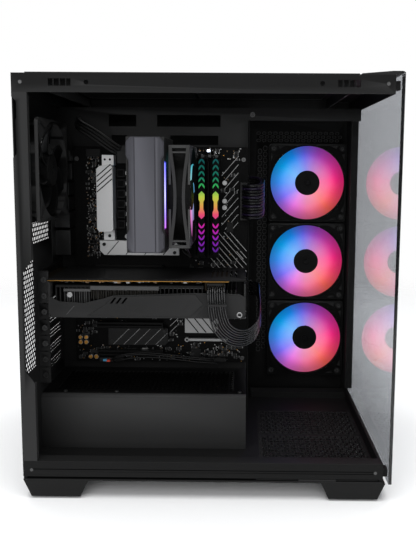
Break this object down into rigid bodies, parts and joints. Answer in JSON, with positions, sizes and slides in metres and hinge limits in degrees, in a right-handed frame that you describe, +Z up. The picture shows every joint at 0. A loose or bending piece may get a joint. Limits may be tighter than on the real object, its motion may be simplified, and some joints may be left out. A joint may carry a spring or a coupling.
{
  "type": "desktop computer tower",
  "caption": "Dual-chamber desktop computer tower with open side, front glass, lit fans, board, tower cooler, memory, graphics card and power supply.",
  "frame": {"origin": "centre of the footprint, on the surface that the feet rest on", "axes": "+X from the rear panel to the front glass, +Y from the open side to the far side panel, +Z up"},
  "size_m": [0.439, 0.306, 0.497],
  "materials": {
    "case_steel": "matte black powder coat",
    "shroud_steel": "satin dark grey powder coat",
    "thumbscrew_steel": "black",
    "screw_steel": "zinc plated",
    "tinted_glass": "clear with a light tint",
    "case_plastic": "fine grained",
    "button_plastic": "satin",
    "filter_mesh": "woven mesh",
    "pad_rubber": "matte",
    "fan_frame_plastic": "moulded",
    "lit_blades": "translucent, lit from the hub",
    "dark_blades": "moulded",
    "psu_steel": "fine textured black",
    "board_laminate": "black solder mask",
    "port_metal": "stamped",
    "silver_aluminium": "bead blasted",
    "component_black": "moulded",
    "latch_plastic": "moulded",
    "stick_black": "anodised black",
    "light_bar": "frosted diffuser",
    "cooler_copper": "plated copper",
    "cooler_fins_dark": "coated dark",
    "cooler_plate_grey": "brushed",
    "cooler_fan_grey": "moulded",
    "gpu_laminate": "board edge",
    "gpu_grey": "brushed dark",
    "gpu_plastic": "textured",
    "cable_black": "sleeved"
  },
  "bodies": {
    "case": {"chassis_base": "case_steel", "rear_panel": "case_steel", "top_frame": "case_steel", "front_pillar": "case_steel", "motherboard_tray": "case_steel", "side_fan_bracket": "case_steel", "psu_shroud": "shroud_steel", "front_glass": "tinted_glass", "top_trim": "case_plastic", "feet": "case_plastic", "foot_pads": "pad_rubber", "case_screws": "screw_steel", "slot_covers": "case_steel", "side_fan_frame_top": "fan_frame_plastic", "side_fan_frame_middle": "fan_frame_plastic", "side_fan_frame_bottom": "fan_frame_plastic", "rear_fan_frame": "fan_frame_plastic", "psu_case": "psu_steel", "motherboard_pcb": "board_laminate", "rear_io_ports": "port_metal", "vrm_heatsink": "silver_aluminium", "board_components": "component_black", "cpu_socket": "port_metal", "dimm_slots": "component_black", "ram_stick_1": "stick_black", "ram_stick_2": "stick_black", "ram_light_bars": "light_bar", "board_heatsinks": "silver_aluminium", "board_connectors": "component_black", "cooler_base": "cooler_copper", "cooler_fins": "cooler_fins_dark", "cooler_top_plate": "cooler_plate_grey", "cooler_light_strip": "light_bar", "cooler_fan_frame": "cooler_fan_grey", "gpu_board": "gpu_laminate", "gpu_backplate": "gpu_grey", "gpu_heatsink": "silver_aluminium", "gpu_shroud": "gpu_plastic", "gpu_bracket": "port_metal", "gpu_power_cable": "cable_black", "board_cables": "cable_black"},
    "side_fan_top": {"side_fan_rotor_top": "lit_blades"},
    "side_fan_middle": {"side_fan_rotor_middle": "lit_blades"},
    "side_fan_bottom": {"side_fan_rotor_bottom": "lit_blades"},
    "rear_fan": {"rear_fan_rotor": "dark_blades"},
    "cooler_fan": {"cooler_fan_rotor": "lit_blades"},
    "gpu_rotor_1": {"gpu_fan_1": "dark_blades"},
    "gpu_rotor_2": {"gpu_fan_2": "dark_blades"},
    "psu_fan": {"psu_fan_rotor": "dark_blades"},
    "power_button": {"power_button": "button_plastic"},
    "reset_button": {"reset_button": "button_plastic"},
    "psu_switch": {"psu_switch": "button_plastic"},
    "far_side_panel": {"far_side_panel": "case_steel", "panel_thumbscrews": "thumbscrew_steel"},
    "top_filter": {"top_filter": "filter_mesh"},
    "bottom_filter": {"bottom_filter": "filter_mesh"},
    "latch_1": {"dimm_latch_1": "latch_plastic"},
    "latch_2": {"dimm_latch_2": "latch_plastic"},
    "latch_3": {"dimm_latch_3": "latch_plastic"},
    "latch_4": {"dimm_latch_4": "latch_plastic"}
  },
  "joints": [
    {"name": "side_fan_top_spin", "type": "hinge", "parent": "case", "child": "side_fan_top", "pos_m": [0.142, 0.135, 0.367], "axis": [0, 1, 0], "continuous": true},
    {"name": "side_fan_middle_spin", "type": "hinge", "parent": "case", "child": "side_fan_middle", "pos_m": [0.142, 0.135, 0.2445], "axis": [0, 1, 0], "continuous": true},
    {"name": "side_fan_bottom_spin", "type": "hinge", "parent": "case", "child": "side_fan_bottom", "pos_m": [0.142, 0.135, 0.122], "axis": [0, 1, 0], "continuous": true},
    {"name": "rear_fan_spin", "type": "hinge", "parent": "case", "child": "rear_fan", "pos_m": [-0.2, -0.086, 0.386], "axis": [1, 0, 0], "continuous": true},
    {"name": "cooler_fan_spin", "type": "hinge", "parent": "case", "child": "cooler_fan", "pos_m": [-0.032, -0.066, 0.356], "axis": [1, 0, 0], "continuous": true},
    {"name": "gpu_fan_1_spin", "type": "hinge", "parent": "case", "child": "gpu_rotor_1", "pos_m": [-0.132, -0.045, 0.21], "axis": [0, 0, 1], "continuous": true},
    {"name": "gpu_fan_2_spin", "type": "hinge", "parent": "case", "child": "gpu_rotor_2", "pos_m": [-0.024, -0.045, 0.21], "axis": [0, 0, 1], "continuous": true},
    {"name": "psu_fan_spin", "type": "hinge", "parent": "case", "child": "psu_fan", "pos_m": [-0.1412, 0.135, 0.108], "axis": [0, 1, 0], "continuous": true},
    {"name": "power_button_press", "type": "slide", "parent": "case", "child": "power_button", "axis": [0, 0, -1], "range_m": [0, 0.0012], "stiffness_N_per_m": 400, "springref_m": -0.0005},
    {"name": "reset_button_press", "type": "slide", "parent": "case", "child": "reset_button", "axis": [0, 0, -1], "range_m": [0, 0.0012], "stiffness_N_per_m": 400, "springref_m": -0.0005},
    {"name": "psu_switch_rock", "type": "hinge", "parent": "case", "child": "psu_switch", "pos_m": [-0.2117, 0.1067, 0.0627], "axis": [0, 1, 0], "range_deg": [-12, 0]},
    {"name": "far_side_panel_slide", "type": "slide", "parent": "case", "child": "far_side_panel", "axis": [-1, 0, 0], "range_m": [0, 0.014]},
    {"name": "top_filter_lift", "type": "slide", "parent": "case", "child": "top_filter", "axis": [0, 0, 1], "range_m": [0, 0.03]},
    {"name": "bottom_filter_slide", "type": "slide", "parent": "case", "child": "bottom_filter", "axis": [0, -1, 0], "range_m": [0, 0.18]},
    {"name": "dimm_latch_1_open", "type": "hinge", "parent": "case", "child": "latch_1", "pos_m": [-0.0218, 0.0164, 0.4048], "axis": [-1, 0, 0], "range_deg": [0, 28]},
    {"name": "dimm_latch_2_open", "type": "hinge", "parent": "case", "child": "latch_2", "pos_m": [-0.0125, 0.0164, 0.4048], "axis": [-1, 0, 0], "range_deg": [0, 28]},
    {"name": "dimm_latch_3_open", "type": "hinge", "parent": "case", "child": "latch_3", "pos_m": [-0.0032, 0.0164, 0.4048], "axis": [-1, 0, 0], "range_deg": [0, 28]},
    {"name": "dimm_latch_4_open", "type": "hinge", "parent": "case", "child": "latch_4", "pos_m": [0.0061, 0.0164, 0.4048], "axis": [-1, 0, 0], "range_deg": [0, 28]}
  ]
}
